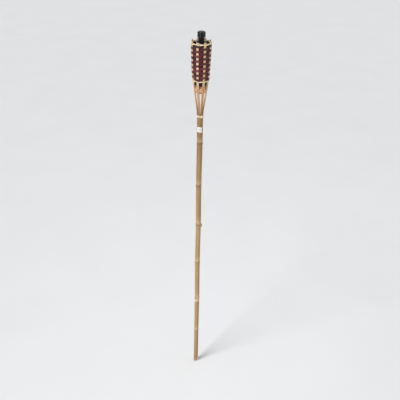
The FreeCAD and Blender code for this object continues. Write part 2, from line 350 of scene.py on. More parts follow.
class Finish:
    """A material whose nodes are added one step at a time."""

    def __init__(self, name, roughness=0.5, metallic=0.0, **shader):
        self.material = bpy.data.materials.new(name)
        self.material.use_nodes = True
        self.nodes = self.material.node_tree.nodes
        self.links = self.material.node_tree.links
        self.shader = self.nodes["Principled BSDF"]
        self.shader.inputs["Roughness"].default_value = roughness
        self.shader.inputs["Metallic"].default_value = metallic
        for socket, value in shader.items():
            self.shader.inputs[socket.replace("_", " ")].default_value = value

    def feed(self, socket, value):
        if isinstance(value, bpy.types.NodeSocket):
            self.links.new(value, socket)
        else:
            socket.default_value = value

    def node(self, kind, output, inputs, **settings):
        """Adds a node, sets it up, and gives the output that is wanted."""
        made = self.nodes.new("ShaderNode" + kind)
        for name, value in settings.items():
            setattr(made, name, value)
        for name, value in inputs.items():
            self.feed(made.inputs[name], value)
        return made.outputs[output]

    def place(self):
        return self.node("TexCoord", "Object", {})

    def uv(self, name):
        return self.node("UVMap", "UV", {}, uv_map=name)

    def stored(self, name):
        """A number that is kept on each vertex."""
        return self.node("Attribute", "Fac", {}, attribute_name=name)

    def part(self, coords, axis):
        return self.node("SeparateXYZ", axis, {0: coords})

    def scaled(self, coords, x, y, z):
        return self.node("Mapping", "Vector", {"Vector": coords, "Scale": (x, y, z)})

    def cloud(self, coords, scale, detail=3.0, rough=0.55):
        inputs = {"Vector": coords, "Scale": scale, "Detail": detail, "Roughness": rough}
        return self.node("TexNoise", "Fac", inputs)

    def grain(self, share, scale, detail, rough):
        """Noise stretched along Z, for fibres that run up the piece."""
        return self.cloud(self.scaled(self.place(), 1, 1, share), scale, detail, rough)

    def maths(self, operation, first, second=0.0):
        return self.node("Math", 0, {0: first, 1: second}, operation=operation)

    def times(self, first, second):
        return self.maths("MULTIPLY", first, second)

    def plus(self, first, second):
        return self.maths("ADD", first, second)

    def span(self, value, low, high, new_low=0.0, new_high=1.0):
        """Carries low to high over to a new range, and holds it there beyond."""
        return self.node("MapRange", 0, {0: value, 1: low, 2: high, 3: new_low, 4: new_high})

    def vary(self, value, low, high):
        """A number that goes from low to high with a noise."""
        return self.span(value, 0.3, 0.7, low, high)

    def ramp(self, value, *stops):
        """Colour from stops, each a place and its paint-chart red, green and blue."""
        node = self.nodes.new("ShaderNodeValToRGB")
        self.feed(node.inputs[0], value)
        elements = node.color_ramp.elements
        while len(elements) < len(stops):
            elements.new(0.5)
        for element, (place, *colour) in zip(elements, stops):
            element.position = place
            element.color = rgb(*colour)
        return node.outputs["Color"]

    def mix(self, share, first, second, blend="MIX"):
        return self.node("Mix", 2, {0: share, 6: first, 7: second}, data_type="RGBA", blend_type=blend)

    def coat(self, tone, colour, value, low, high, thin, full, blend="MIX"):
        """Lays a colour over the tone: thin up to the low value, and full from the high one."""
        return self.mix(self.span(value, low, high, thin, full), tone, rgb(*colour), blend)

    def over(self, tone, colour, name, share=None):
        """Lays a colour over the tone where the stored number says, thinned by a share."""
        where = self.stored(name)
        return self.mix(where if share is None else self.times(where, share), tone, rgb(*colour))

    def bump(self, *layers):
        """Layers are (height, depth in metres), laid one on another."""
        normal = None
        for height, depth in layers:
            node = self.nodes.new("ShaderNodeBump")
            node.inputs["Distance"].default_value = depth
            self.feed(node.inputs["Height"], height)
            if normal:
                self.links.new(normal, node.inputs["Normal"])
            normal = node.outputs["Normal"]
        self.links.new(normal, self.shader.inputs["Normal"])

    def finish(self, colour=None, roughness=None):
        if colour is not None:
            self.feed(self.shader.inputs["Base Color"], colour)
        if roughness is not None:
            self.feed(self.shader.inputs["Roughness"], roughness)
        return self.material


def bamboo_skin():
    """Natural culm skin: fibres run along it, each internode has its own tint, and its nodes are dark."""
    f = Finish("bamboo_skin", roughness=0.42, Specular_IOR_Level=0.4)
    coords = f.place()
    fibres = f.grain(0.02, 1500, 4, 0.6)
    threads = f.grain(0.008, 480, 3, 0.5)
    streaks = f.grain(0.03, 100, 3, 0.55)
    clouds = f.grain(0.22, 34, 4, 0.6)
    flecks = f.grain(0.16, 820, 2, 0.5)
    ripe = f.ramp(streaks, (0.30, 150, 104, 60), (0.50, 190, 144, 92), (0.72, 172, 132, 86))
    green = f.ramp(streaks, (0.30, 152, 126, 78), (0.50, 190, 162, 108), (0.72, 152, 136, 96))
    tone = f.mix(f.stored("tone"), ripe, green)
    tone = f.coat(tone, (150, 106, 66), clouds, 0.42, 0.68, 0, 0.55)
    tone = f.coat(tone, (214, 184, 132), threads, 0.40, 0.62, 0, 0.35)
    # pale streak up each internode's front: partly its own stripe, partly a painted highlight
    tone = f.over(tone, (198, 184, 138), "front_streak_and_painted_highlight", f.vary(streaks, 0.35, 0.65))
    tone = f.coat(tone, (120, 84, 50), fibres, 0.36, 0.60, 0.38, 0, "MULTIPLY")
    tone = f.coat(tone, (80, 52, 33), flecks, 0.66, 0.71, 0, 0.6)
    # the upper pole is painted darker and browner, more along some streaks
    darker_towards_top = f.times(f.span(f.part(coords, 2), 0.70, 1.12), f.vary(streaks, 0.75, 0.45))
    tone = f.mix(darker_towards_top, tone, rgb(120, 86, 57))
    soiled = f.span(f.part(coords, 2), 0.0, 0.26, 0.42, 0.0)
    tone = f.mix(soiled, tone, rgb(138, 108, 82))
    tone = f.over(tone, (230, 214, 178), "bloom", 0.22)
    # pale scar round the cut branch, with a painted highlight on its swelling
    tone = f.over(tone, (248, 212, 182), "pale_scar_and_painted_highlight", f.span(flecks, 0.35, 0.62, 0.95, 0.45))
    # dark node lines, plus the painted shadow under the branch stub
    tone = f.over(tone, (84, 54, 30), "ring", f.span(fibres, 0.25, 0.65, 0.75, 1.05))
    pores = f.node("TexVoronoi", "Distance", {"Vector": coords, "Scale": 1900})
    ends = f.ramp(pores, (0.0, 104, 70, 42), (0.40, 222, 190, 142), (1.0, 198, 162, 112))
    cut = f.stored("cut")
    tone = f.mix(cut, tone, ends)
    # painted shade inside the foot and in the sawn branch's pith hole
    hollow = f.stored("hollow")
    tone = f.mix(hollow, tone, rgb(44, 27, 16))
    f.bump((streaks, 0.0004), (fibres, 0.00022), (flecks, 0.00008))
    rough = f.plus(f.vary(fibres, 0.36, 0.56), f.times(f.plus(cut, hollow), 0.25))
    return f.finish(tone, rough)


def strip_skin():
    """Split strip: culm skin on its face, pale pith with open fibres on its cut sides."""
    f = Finish("split_bamboo", roughness=0.45, Specular_IOR_Level=0.4)
    fibres = f.grain(0.03, 1700, 4, 0.6)
    streaks = f.grain(0.06, 210, 3, 0.55)
    clouds = f.grain(0.4, 55, 4, 0.6)
    tone = f.ramp(streaks, (0.30, 158, 111, 66), (0.50, 194, 149, 98), (0.72, 216, 179, 130))
    tone = f.coat(tone, (164, 118, 72), clouds, 0.45, 0.68, 0, 0.45)
    tone = f.over(tone, (246, 216, 168), "tone")
    tone = f.coat(tone, (146, 100, 58), fibres, 0.36, 0.60, 0.40, 0, "MULTIPLY")
    pith = f.ramp(fibres, (0.34, 164, 118, 72), (0.50, 226, 192, 144), (0.66, 242, 220, 180))
    tone = f.mix(f.stored("cut"), tone, pith)
    tone = f.over(tone, (134, 94, 57), "root", 0.8)
    tone = f.over(tone, (170, 124, 80), "tip", 0.22)
    f.bump((streaks, 0.0002), (fibres, 0.00025))
    return f.finish(tone, f.vary(fibres, 0.38, 0.60))


def dyed_splint():
    """Plum-dyed flat splint: the dye takes unevenly, and it has rubbed off on the crests and edges."""
    f = Finish("dyed_splint", roughness=0.48, Specular_IOR_Level=0.3)
    coords = f.uv("wrap")
    fibres = f.cloud(f.scaled(coords, 0.035, 1, 1), 2300, 4, 0.6)
    streaks = f.cloud(f.scaled(coords, 0.05, 1, 1), 520, 3, 0.6)
    patches = f.cloud(f.place(), 120, 4, 0.6)
    plum = f.ramp(f.plus(streaks, f.times(f.stored("tone"), 0.16)), (0.34, 34, 5, 14), (0.50, 80, 18, 33),
                  (0.62, 112, 34, 47), (0.78, 146, 72, 70))
    plum = f.coat(plum, (66, 24, 50), patches, 0.44, 0.68, 0, 0.6)
    plum = f.coat(plum, (70, 34, 30), fibres, 0.36, 0.58, 0.5, 0, "MULTIPLY")
    plum = f.coat(plum, (166, 100, 88), fibres, 0.60, 0.70, 0, 0.28)
    plum = f.over(plum, (170, 116, 88), "edge", f.span(patches, 0.40, 0.62, 0.1, 0.75))
    f.bump((streaks, 0.00016), (fibres, 0.00022))
    return f.finish(plum, f.vary(fibres, 0.38, 0.62))


def pale_cane():
    """Peeled cane, cream, with fine grooves along it and the odd tan patch."""
    f = Finish("pale_cane", roughness=0.5, Specular_IOR_Level=0.4)
    coords = f.uv("wrap")
    fibres = f.cloud(f.scaled(coords, 0.05, 1, 1), 2600, 4, 0.6)
    patches = f.cloud(f.place(), 150, 3, 0.6)
    tone = f.ramp(patches, (0.32, 226, 194, 146), (0.48, 248, 232, 196), (0.70, 254, 244, 218))
    tone = f.coat(tone, (176, 132, 84), fibres, 0.36, 0.56, 0.4, 0, "MULTIPLY")
    # the tucked strap is painted darker tan
    tone = f.over(tone, (178, 138, 88), "darker_strap", 0.75)
    f.bump((fibres, 0.0002),)
    return f.finish(tone, f.vary(fibres, 0.42, 0.62))


def turned_wood():
    """Turned plug: rings of grain, tool marks and a matt, unsealed face."""
    f = Finish("turned_wood", roughness=0.62)
    coords = f.place()
    ripple = f.grain(0.3, 60, 3, 0.5)
    inputs = {"Vector": f.scaled(coords, 1.0, 0.25, 1.0), "Scale": 95, "Distortion": 4.0, "Detail": 3.0,
              "Detail Scale": 1.4}
    rings = f.node("TexWave", "Fac", inputs, wave_type="RINGS", rings_direction="Y")
    pores = f.cloud(f.scaled(coords, 1, 0.08, 1), 1400, 3, 0.6)
    tone = f.ramp(rings, (0.0, 182, 134, 96), (0.45, 224, 176, 134), (1.0, 240, 200, 160))
    tone = f.coat(tone, (204, 152, 112), ripple, 0.4, 0.65, 0, 0.4)
    tone = f.coat(tone, (112, 76, 46), pores, 0.36, 0.56, 0.45, 0, "MULTIPLY")
    f.bump((rings, 0.00015), (pores, 0.0002))
    return f.finish(tone, f.vary(pores, 0.52, 0.75))


def black_gloss(name, wear):
    """Stoved black gloss on thin metal: light orange peel, dust and fine rubs."""
    f = Finish(name, roughness=0.2, Specular_IOR_Level=0.3)
    coords = f.place()
    peel = f.cloud(coords, 900, 2, 0.5)
    dust = f.cloud(coords, 160, 5, 0.65)
    rubs = f.grain(0.12, 700, 3, 0.6)
    tone = f.mix(f.span(dust, 0.5, 0.8, 0, 0.35), rgb(4, 4, 5), rgb(26, 26, 27))
    tone = f.coat(tone, (70, 68, 66), rubs, 0.68, 0.74, 0, wear)
    tone = f.over(tone, (126, 122, 116), "edge", f.span(dust, 0.42, 0.6))
    f.bump((peel, 0.00006), (rubs, 0.00004))
    return f.finish(tone, f.span(dust, 0.35, 0.75, 0.09, 0.28))


def plated_steel():
    f = Finish("plated_steel", roughness=0.34, metallic=1.0)
    coords = f.place()
    draw = f.grain(0.03, 1800, 3, 0.6)
    haze = f.cloud(coords, 260, 4, 0.6)
    tone = f.ramp(haze, (0.3, 128, 126, 122), (0.7, 176, 174, 170))
    f.bump((draw, 0.00006),)
    return f.finish(tone, f.vary(draw, 0.26, 0.48))


def glass_braid():
    """Woven glass-fibre wick: off-white, with painted shade in the hollows between its yarns."""
    f = Finish("glass_braid", roughness=0.7, Sheen_Weight=0.35, Sheen_Roughness=0.4)
    coords = f.place()
    yarn = f.grain(0.5, 2400, 3, 0.6)
    soil = f.cloud(coords, 180, 4, 0.6)
    # painted shade in the hollows between the yarns
    tone = f.mix(f.stored("hollow"), rgb(236, 232, 220), rgb(150, 144, 130))
    tone = f.coat(tone, (206, 196, 170), soil, 0.5, 0.8, 0, 0.35)
    tone = f.coat(tone, (150, 144, 132), yarn, 0.36, 0.56, 0.35, 0, "MULTIPLY")
    f.bump((yarn, 0.0002),)
    return f.finish(tone, f.vary(yarn, 0.62, 0.82))


def seal_rubber():
    f = Finish("seal_rubber", roughness=0.7)
    grain = f.cloud(f.place(), 1600, 3, 0.6)
    tone = f.mix(grain, rgb(24, 24, 25), rgb(46, 45, 44))
    f.bump((grain, 0.00008),)
    return f.finish(tone, f.vary(grain, 0.6, 0.8))


def sticker_paper():
    """White sticker: paper fibre, a grubby edge and faint generic grey lines."""
    f = Finish("sticker_paper", roughness=0.5, Specular_IOR_Level=0.4)
    coords = f.uv("flat")
    fibre = f.cloud(coords, 90, 4, 0.6)
    line_wave = f.maths("SINE", f.times(f.part(coords, 1), 44.0))
    lines = f.span(line_wave, 0.40, 0.62, 0.0, 0.72)
    inside_x = f.times(f.span(f.part(coords, 0), 0.14, 0.16), f.span(f.part(coords, 0), 0.86, 0.84))
    inside_y = f.times(f.span(f.part(coords, 1), 0.14, 0.16), f.span(f.part(coords, 1), 0.80, 0.78))
    lines = f.times(lines, f.times(inside_x, inside_y))
    tone = f.mix(fibre, rgb(232, 227, 221), rgb(243, 239, 235))
    tone = f.mix(lines, tone, rgb(122, 124, 132))
    tone = f.over(tone, (176, 160, 132), "edge", 0.45)
    f.bump((fibre, 0.00005),)
    return f.finish(tone, f.vary(fibre, 0.42, 0.6))


def floor_paint():
    f = Finish("pale_floor", roughness=0.85)
    haze = f.cloud(f.place(), 3.0, 3, 0.5)
    return f.finish(f.mix(haze, rgb(232, 233, 235), rgb(238, 239, 240)))


# ---- pole ----
# Where the culm's middle lies at its foot, its nodes, 60 below the split and the split: (x, y), millimetres.
LEAN = [(0, 0), (0, 0), (0.7, -0.4), (-0.6, 0.5), (0.8, 0.3), (-0.5, -0.5), (0.4, 0.2), (0, 0), (0, 0)]


def culm_lean(height):
    """The culm is never quite straight: it sets off a little at each node. Its ends stay on the axis."""
    stops = [0.0] + NODES + [SPLIT - 60 * MM, SPLIT]
    for low, high, (x_low, y_low), (x_high, y_high) in zip(stops, stops[1:], LEAN, LEAN[1:]):
        if height <= high:
            share = ease(height, low, high)
            return Vector((x_low + (x_high - x_low) * share, y_low + (y_high - y_low) * share, 0)) * MM
    return Vector((0, 0, 0))


# A node in section, thick end up: (height from the node, rise above the culm), millimetres.
NODE_SHAPE = [(-12, 0.0), (-8, 0.10), (-5.2, 0.34), (-3.2, 0.60), (-1.6, 0.52), (-0.5, 0.16), (0.1, 0.10),
              (0.6, 0.46), (1.1, 0.84), (1.8, 0.80), (2.3, 0.30), (4.5, 0.12), (9, 0.0)]


# For each internode from the foot up: how green it is, and its pale front streak, partly the culm's own
# stripe and partly a painted highlight, as (bearing in degrees, strength).
GREENNESS = (0.45, 0.40, 0.12, 0.62, 0.35, 0.50, 0.30)
FRONT_STREAKS_AND_HIGHLIGHTS = ((258, 0.6), (255, 0.8), (277, 1.0), (277, 1.0), (265, 0.5), (262, 0.35), (262, 0.2))


def culm_outline():
    outline = []
    last = -3 * MM
    for node in NODES + [None]:
        first = node + NODE_SHAPE[0][0] * MM if node else SPLIT
        outline += [(culm_radius(height), height) for height in steps_between(last, first, 11 * MM)[:-1]]
        if node:
            outline += [(culm_radius(node + rise * MM) + swell * MM, node + rise * MM)
                        for rise, swell in NODE_SHAPE]
            last = node + NODE_SHAPE[-1][0] * MM + 4 * MM
    outline.append((CULM_TOP, SPLIT))
    inner = CULM_TOP - CULM_WALL
    floor = NODES[-1] + 5 * MM
    outline += [(inner, SPLIT), (inner, floor + 3 * MM), (inner * 0.8, floor), (0, floor - 1 * MM)]
    inner = CULM_FOOT - CULM_WALL
    roof = NODES[0] - 5 * MM
    hollow = [(0, roof), (inner * 0.8, roof - 1 * MM), (inner, roof - 4 * MM)]
    hollow += straight(inner, -3 * MM, roof - 20 * MM, 30 * MM)[::-1]
    return hollow, outline


def shape_culm(vert):
    """Makes the turned culm slightly oval and uneven, with a groove along the branch side below a branch."""
    height = vert.co.z
    angle = bearing(vert.co)
    radius = reach(vert.co)
    free = 1 - ease(height, SPLIT - 110 * MM, SPLIT - 75 * MM)
    if radius > CULM_FOOT - CULM_WALL + 0.5 * MM and height < SPLIT - 1 * MM:
        dents = wobble((cos(angle), sin(angle), height * 18), 1.4, 3)
        oval = 0.014 * cos(2 * angle + height * 4) + 0.012 * dents
        groove = 0.0
        for node, side in ((NODES[STUB_NODE], STUB_SIDE), (NODES[SCAR_NODE], SCAR_GROOVE_SIDE)):
            along = between(height, node - 150 * MM, node - 4 * MM, 55 * MM, 10 * MM)
            groove += 0.75 * MM * hump(turn_off(angle, side), 0.30) * along
        set_reach(vert, radius * (1 + oval * free) - groove)
    vert.co += culm_lean(height)


def pointing(origin, direction):
    """Matrix that stands a piece turned about Z on the origin, pointing the given way."""
    return Matrix.Translation(origin) @ UP.rotation_difference(Vector(direction)).to_matrix().to_4x4()


def add_stub(bm, cut):
    """Knuckle of a side branch under its node, trimmed off with one slanting cut."""
    node = NODES[STUB_NODE]
    before = set(everything(bm))
    place = pointing((culm_radius(node), 0, node), (0.06, 0, -1))
    outline = [(0, -6.4), (2.3, -5.4), (3.7, -3.4), (4.7, -1.0), (5.3, 1.6), (5.5, 4.0), (5.2, 7), (4.7, 10),
               (4.2, 14), (3.8, 18), (3.4, 22), (2.9, 24), (0, 24.4)]
    turned(near(0, 0, *outline), 32, bm=bm, place=place)
    edge = Vector((culm_radius(node) + 5.0 * MM, 0, node - 4.5 * MM))
    slope = Vector((20.5, 0, -6.0)).normalized()
    stub = [item for item in everything(bm) if item not in before]
    sawn = bmesh.ops.bisect_plane(bm, geom=stub, dist=1e-7, plane_co=edge, plane_no=slope, clear_outer=True)
    face = bmesh.ops.contextual_create(bm, geom=edges_of(sawn["geom_cut"]))["faces"]
    bmesh.ops.inset_individual(bm, faces=face, thickness=0.25 * MM, use_even_offset=True)
    for vert in face[0].verts:
        vert[cut] = 1.0
    for vert in bmesh.ops.poke(bm, faces=face)["verts"]:
        vert[cut] = 0.6
        vert.co -= slope * 0.5 * MM
    turn = Matrix.Rotation(STUB_SIDE, 3, "Z")
    bmesh.ops.rotate(bm, cent=(0, 0, 0), matrix=turn, verts=new_verts(bm, before))


def scar_place():
    """Where the sawn branch stands: its matrix, and how far along it the sawn face lies."""
    distance = culm_radius(NODES[SCAR_NODE]) + SCAR_REACH
    start = Vector((0, 0, NODES[SCAR_NODE] + SCAR_ABOVE_NODE - distance * tan(SCAR_LIFT)))
    level = cos(SCAR_LIFT)
    way = (level * cos(SCAR_SIDE), level * sin(SCAR_SIDE), sin(SCAR_LIFT))
    return pointing(start, way), distance / level


# Swellings round the sawn branch: (bearing in degrees, share of the culm's radius, drop from the node, half
# width, half depth, reach below, reach above), millimetres.
SCAR_LOBES = [(260, 0.50, 7.0, 7.0, 7.6, 22.0, 7.0), (291, 0.60, 4.0, 6.3, 6.6, 13.0, 7.0)]


def add_scar(bm, cut):
    """Sawn-off branch that points out and up: end grain round its pith, on the swelling that carried it."""
    node = NODES[SCAR_NODE]
    place, distance = scar_place()
    face = distance / MM
    before = set(bm.verts)
    depths = [(7.2, 6), (6.9, 4), (6.6, 2), (6.35, 0.8), (6.0, 0.15), (5.6, 0), (4.0, 0.15), (3.1, 0.3),
              (2.85, 0.8), (2.6, 4.8), (0, 5.4)]
    outline = [(0, 2), (7.3, 4)] + [(radius, face - depth) for radius, depth in depths]
    turned(near(0, 0, *outline), 40, bm=bm, place=place)
    for vert in new_verts(bm, before):
        spot = place.inverted() @ vert.co
        if spot.z > (face - 0.35) * MM and reach(spot) < 5.8 * MM:
            vert[cut] = 1.0
        ragged = ease(reach(spot), 5.0 * MM, 6.2 * MM) * ease(spot.z, (face - 5) * MM, (face - 1) * MM)
        vert.co += (vert.co - place @ Vector((0, 0, spot.z))) * 0.07 * ragged * wobble(spot, 330, 21)
    for side, share, drop, wide, deep, below, above in SCAR_LOBES:
        lobe = outward(radians(side)) * culm_radius(node) * share
        lobe.z = node - drop * MM
        shape = Matrix.Translation(lobe) @ Matrix.Diagonal((wide * MM, deep * MM, below * MM, 1))
        before = set(bm.verts)
        turned(corner(0, 0, 1, -90, 90, 24), 48, bm=bm, place=shape)
        for vert in new_verts(bm, before):
            vert.co += (vert.co - lobe) * 0.06 * wobble(vert.co, 300, 44)
            if vert.co.z > lobe.z:
                vert.co.z = lobe.z + (vert.co.z - lobe.z) * above / below


def bamboo_pole():
    hollow, outline = culm_outline()
    bm = bmesh.new()
    cut = bm.verts.layers.float.new("cut")
    turned(hollow, 48, bm=bm)
    turned(outline, 48, bm=bm)
    for vert in bm.verts:
        shape_culm(vert)
    foot = Vector((-CULM_FOOT, 0, 0))
    upward = Vector((-FOOT_RISE, 0, 2 * CULM_FOOT)).normalized()
    sawn = bmesh.ops.bisect_plane(bm, geom=everything(bm), dist=1e-7, plane_co=foot, plane_no=upward,
                                  clear_inner=True)
    rims = edges_of(sawn["geom_cut"])
    rim_verts = {vert for edge in rims for vert in edge.verts}
    bmesh.ops.bisect_plane(bm, geom=everything(bm), dist=1e-7, plane_co=foot + upward * 0.3 * MM,
                           plane_no=upward)
    bmesh.ops.bridge_loops(bm, edges=rims)
    for vert in bm.verts:
        vert.co.z = max(vert.co.z, 0.0)
    for vert in rim_verts:
        vert[cut] = 1.0
    add_stub(bm, cut)
    add_scar(bm, cut)
    bmesh.ops.recalc_face_normals(bm, faces=bm.faces)
    obj = piece("bamboo_pole", bm, bamboo_skin(), "torch", "bamboo_culm", "pole")
    stub = outward(STUB_SIDE) * (culm_radius(NODES[STUB_NODE]) + 3 * MM)
    stub.z = NODES[STUB_NODE] - 24 * MM

    def ring(co):
        """Dark line at each node, a softer band under it, and a painted shadow under the stub."""
        shade = 0.0
        for node in NODES:
            away = (co.z - node) / MM
            shade = max(shade, 0.9 * hump(away - 0.3, 0.9), 0.35 * hump(away + 3.0, 4.0))
        return min(shade + 0.5 * hump((co - stub).length, 5 * MM), 1.0)

    def bloom(co):
        """Pale powder above each node."""
        return max(hump((co.z - node) / MM - 10, 9) for node in NODES)

    place, distance = scar_place()
    back = place.inverted()

    def dark(co):
        """Painted shade inside the foot, and inside the sawn branch's pith hole."""
        inside = reach(co) < CULM_FOOT - CULM_WALL + 0.2 * MM and 3 * MM < co.z < NODES[0]
        spot = back @ co
        hole = 1.0 if reach(spot) < 4.3 * MM and distance - 7 * MM < spot.z < distance - 0.6 * MM else 0.0
        return max(hole, 0.8 if inside else 0.0)

    knot = Vector((0.3 * MM, -culm_radius(NODES[SCAR_NODE]) - 2 * MM, NODES[SCAR_NODE] - 6.5 * MM))

    def pale_scar_and_painted_highlight(co):
        """Pale scar round the cut branch, with a painted highlight on its front-facing swelling: palest on
        the swelling.
        """
        return 1 - ease((co - knot).length, 9.0 * MM, 16.0 * MM)

    def internode(co):
        return sum(co.z > node for node in NODES)

    def tint(co):
        """Greener or riper, changing at each node."""
        return GREENNESS[internode(co)] + 0.15 * wobble(co, 60, 19)

    def streak_and_painted_highlight(co):
        """Pale streak up the front of each internode: partly the culm's own pale stripe, partly a painted
        highlight.
        """
        side, strength = FRONT_STREAKS_AND_HIGHLIGHTS[internode(co)]
        return strength * hump(turn_off(bearing(co), radians(side - 360)), 0.30)

    for name, value_at in (("ring", ring), ("front_streak_and_painted_highlight", streak_and_painted_highlight), ("bloom", bloom), ("hollow", dark), ("tone", tint),
                           ("pale_scar_and_painted_highlight", pale_scar_and_painted_highlight)):
        mark(obj, name, value_at)


# ---- basket ----
def strip_section(index, height):
    """Section of one strip: a slice of culm wall whose curve flattens as the strip is spread."""
    flat = 1 - 0.72 * ease(height, SPLIT + 4 * MM, SPLIT + 95 * MM)
    face = flare_radius(height)
    narrow = 1 + 0.035 * wobble((index * 3.1, 0, height * 20), 1, 5)
    loose = ease(height, SPLIT + 12 * MM, SPLIT + 60 * MM)
    drift = 0.5 * MM * wobble((index * 5.7, 2.0, height * 9), 1, 6) * loose
    outer = (-1, -0.93, -0.55, 0, 0.55, 0.93, 1)
    inner = (0.96, 0.5, 0, -0.5, -0.96)
    points = []
    for share, depth in [(share, 0) for share in outer] + [(share, STRIP_THICK) for share in inner]:
        turn = share * STRIP_HALF_ANGLE
        chamfer = 0.28 * MM if abs(share) == 1 else 0
        sunk = depth + (CULM_TOP - depth) * (1 - cos(turn)) * flat + chamfer
        points.append((face - sunk, (CULM_TOP - depth * flat) * sin(turn) * narrow + drift))
    at_tip = ease(height, TIPS - 6 * MM, TIPS)
    lip = 0.7 * MM * wobble((index * 9.1, 0, 0), 1, 8) * at_tip
    spin = Matrix.Rotation(strip_bearing(index), 3, "Z")
    return [spin @ Vector((radius, across, height + lip - 0.6 * MM * at_tip)) for radius, across in points]


def strips(finish):
    heights = steps_between(SPLIT, TIPS, 4 * MM)
    for index in range(STRIPS):
        bm = swept(lambda height: strip_section(index, height), heights)
        rims = [edge for edge in bm.edges if edge.is_manifold
                and all(vert.co.z > TIPS - 2.5 * MM for vert in edge.verts)
                and edge.calc_face_angle(0) > radians(60)]
        bmesh.ops.bevel(bm, geom=rims, offset=0.25 * MM, segments=2, profile=0.5, affect="EDGES", material=-1)
        obj = piece(f"split_strip_{index + 1}", bm, finish, "torch", "bamboo_strip", f"strip_{index + 1}")
        side = strip_bearing(index)
        face = outward(side)
        across = Vector((-sin(side), cos(side), 0))

        def cut(co):
            """Its back, its sawn sides and its tip are open pith."""
            inner = co.dot(face) < flare_radius(co.z) - 1.1 * MM
            edge = abs(co.dot(across)) > STRIP_SAWN_SIDE
            return 1.0 if inner or edge or co.z > TIPS - 1.4 * MM else 0.0

        mark(obj, "cut", cut)
        shade = 0.18 + 0.22 * wobble((index * 1.7, 0.4, 0.2), 1, 14)
        mark(obj, "tone", lambda co: shade + 0.50 * ease(co.z, LOWER_RING - 26 * MM, LOWER_RING + 4 * MM))
        mark(obj, "root", lambda co: 1 - ease(co.z, SPLIT, SPLIT + 75 * MM))
        mark(obj, "tip", lambda co: ease(co.z, TIPS - 9 * MM, TIPS))


def swing(height, half_thickness):
    """How far a woven piece swings about the strips' middle to clear them."""
    return STRIP_THICK / 2 + half_thickness + WEAVE_GAP + HALF_STRIP_SQUARED / strip_middle(height) * 0.25


def weave_wave(angle):
    """-1 behind a strip and 1 in front, flat over the strips and quick between them."""
    return tanh(WEAVE_TIGHT * sin(STRIPS / 2 * angle)) / tanh(WEAVE_TIGHT)


def weft(row, finish):
    """One row of splint round the strips, with its own lie, width and shade of dye."""
    ring_room = CANE + CANE_TWIST
    pitch = (UPPER_RING - LOWER_RING - 2 * ring_room) / WEFTS
    middle = LOWER_RING + ring_room + pitch * (row + 0.5)
    half_height, half_thick = (pitch - ROW_GAP) / 2, WEFT_THICK / 2
    base = strip_middle(middle)
    side = 1 if row % 2 else -1
    shoulder = half_height - 0.45 * MM
    lower = [(-half_thick, -shoulder), (-half_thick + 0.3 * MM, -half_height),
             (half_thick - 0.35 * MM, -half_height), (half_thick, -shoulder),
             (half_thick + 0.14 * MM, -shoulder * 0.4)]
    section = [(base + out, middle + up) for out, up in lower + mirrored(lower)]
    bm = turned(section, 24 * STRIPS, closed=True)
    reach_out = swing(middle, half_thick)
    for vert in bm.verts:
        angle = bearing(vert.co)
        out = reach(vert.co) - base
        up = vert.co.z - middle
        wave = weave_wave(angle) * side
        cup = 0.10 * MM * round_wobble(angle, 3.0, row + 31)
        set_reach(vert, strip_middle(vert.co.z) + out + wave * reach_out + cup * up / half_height)
        swell = 1 + 0.05 * round_wobble(angle, 3.5, row)
        vert.co.z = middle + up * swell + 0.28 * MM * round_wobble(angle, 2.2, row + 60)
    obj = piece(f"woven_splint_{row + 1:02d}", bm, finish, "torch", "dyed_splint", f"weft_{row + 1:02d}")
    wrap_uv(obj, base, pi + pi / 8 * side)
    shade = wobble((row * 0.77, 0.3, 0.1), 1.9, 12) * 1.6
    mark(obj, "tone", lambda co: shade + 0.6 * round_wobble(bearing(co), 2.5, row + 90))
    crest = base + reach_out
    mark(obj, "edge", lambda co: min(1.0, 0.9 * ease(abs(co.z - middle), shoulder, half_height)
                                     + 0.35 * ease(reach(co), crest, crest + 1 * MM)))


def twined_cane(name, middle, side, finish, node):
    """One of two canes that cross between the strips and pass one in front, one behind."""
    base = strip_middle(middle)
    turns = [step * TURN / 12 for step in range(12)]
    section = [(base + CANE_BODY * cos(turn), middle + CANE_BODY * sin(turn)) for turn in turns]
    bm = turned(section, 32 * STRIPS, closed=True)
    reach_out = swing(middle, CANE_BODY) + 0.04 * MM
    for vert in bm.verts:
        angle = bearing(vert.co)
        fat = 1 + 0.09 * round_wobble(angle, 5.0, 17 if side > 0 else 23)
        out = (reach(vert.co) - base) * fat
        up = (vert.co.z - middle) * fat
        wave = sin(STRIPS / 2 * angle)
        height = middle + side * CANE_TWIST * cos(STRIPS / 2 * angle)
        lift = 0.22 * MM * round_wobble(angle, 2.6, 41)
        set_reach(vert, strip_middle(height) + side * wave * reach_out + out)
        vert.co.z = height + up + lift
    obj = piece(name, bm, finish, "torch", "pale_cane", node)
    wrap_uv(obj, base, pi + pi / 8)


def root_radius(height):
    """Outer face that the tie is wound on: culm below the split, strips above it."""
    return culm_radius(height) if height < SPLIT else flare_radius(height)


